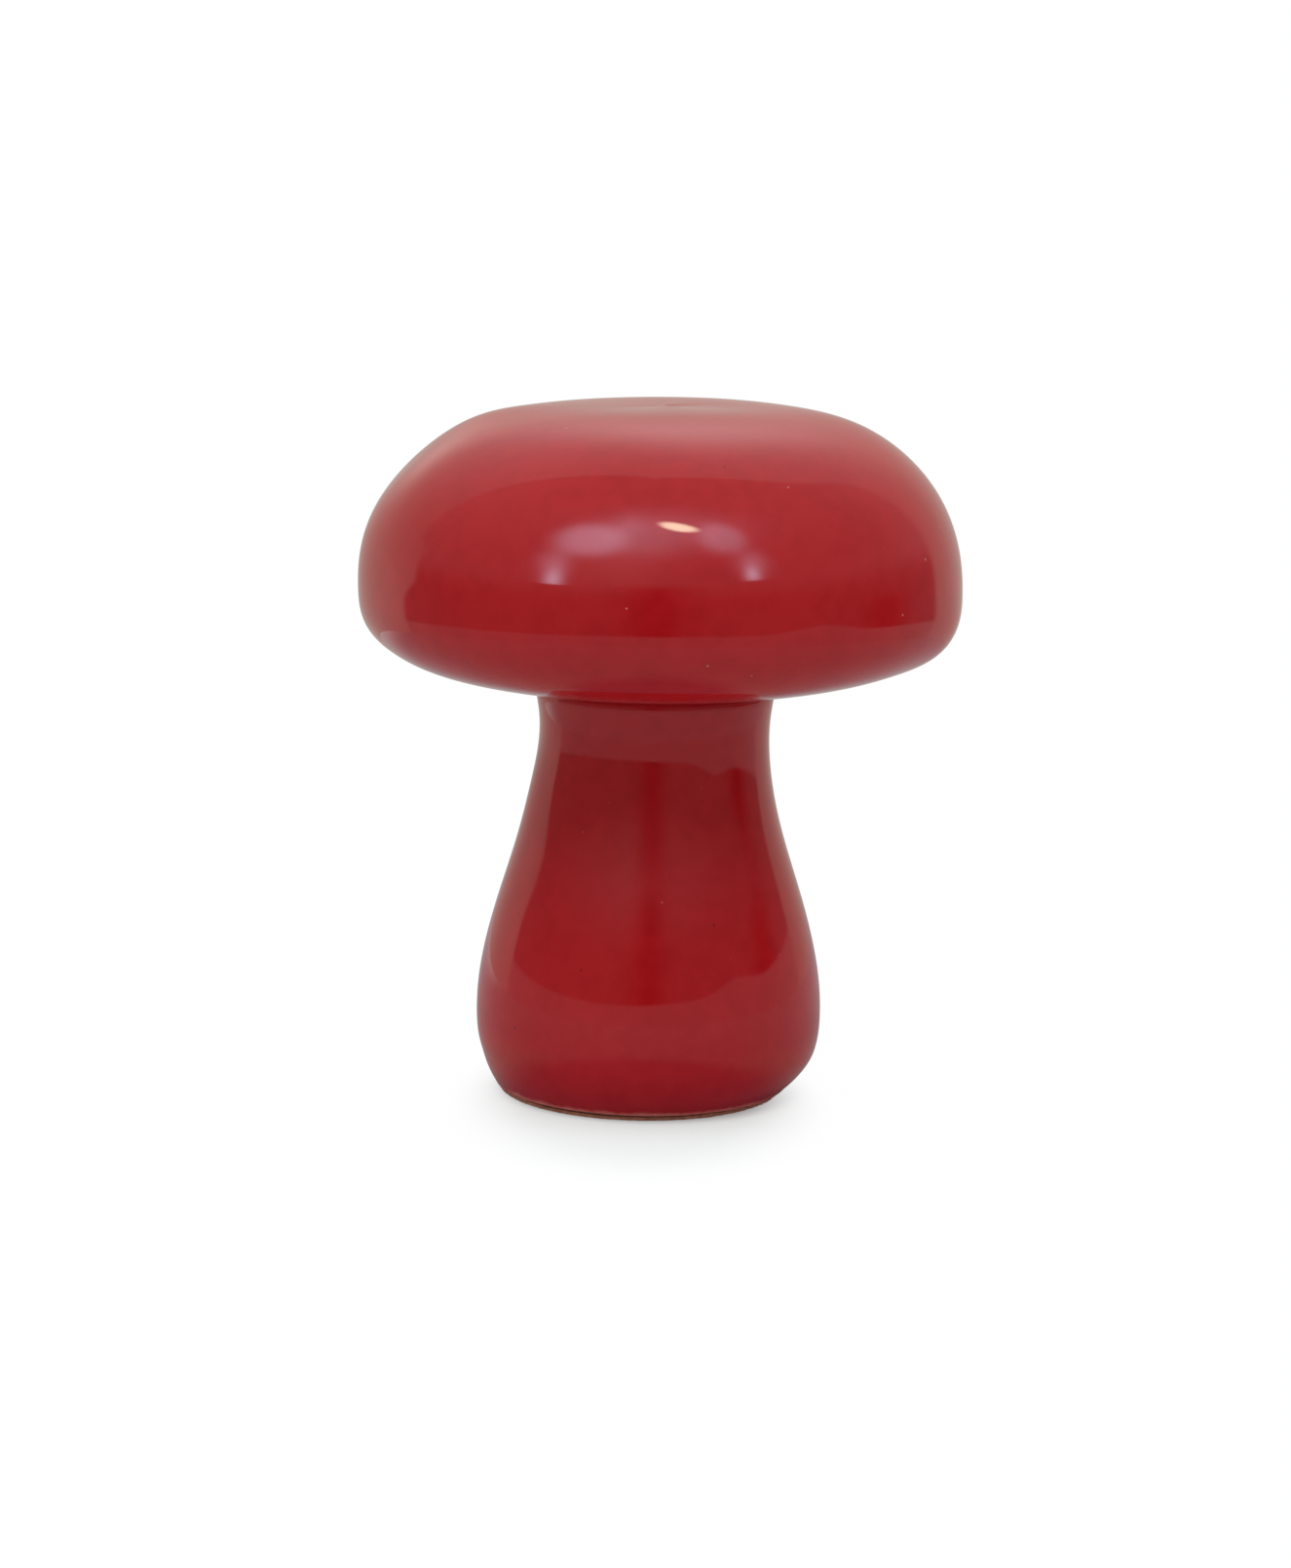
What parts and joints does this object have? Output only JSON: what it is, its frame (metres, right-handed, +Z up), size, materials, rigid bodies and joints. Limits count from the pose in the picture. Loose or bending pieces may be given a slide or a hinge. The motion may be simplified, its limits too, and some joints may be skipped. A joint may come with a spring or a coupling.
{
  "type": "mushroom ornament",
  "caption": "Free-standing glazed ceramic mushroom ornament: a wide bun-shaped cap on a waisted stem that swells to a rounded, felt-padded foot.",
  "frame": {"origin": "centre of the felt pad's underside, on the surface that the ornament stands on", "axes": "+Z up, +X to the right of the front view, -Y towards the viewer"},
  "size_m": [0.1019, 0.102, 0.1175],
  "materials": {
    "clay": "matte",
    "slip": "matte",
    "red_glaze": "gloss",
    "adhesive": "satin",
    "felt": "matte"
  },
  "bodies": {
    "root": {"cap_shell": "clay", "stem_shell": "clay", "joint_slip": "slip", "glaze_coat": "red_glaze", "pad_adhesive": "adhesive", "felt_pad": "felt"}
  },
  "joints": []
}
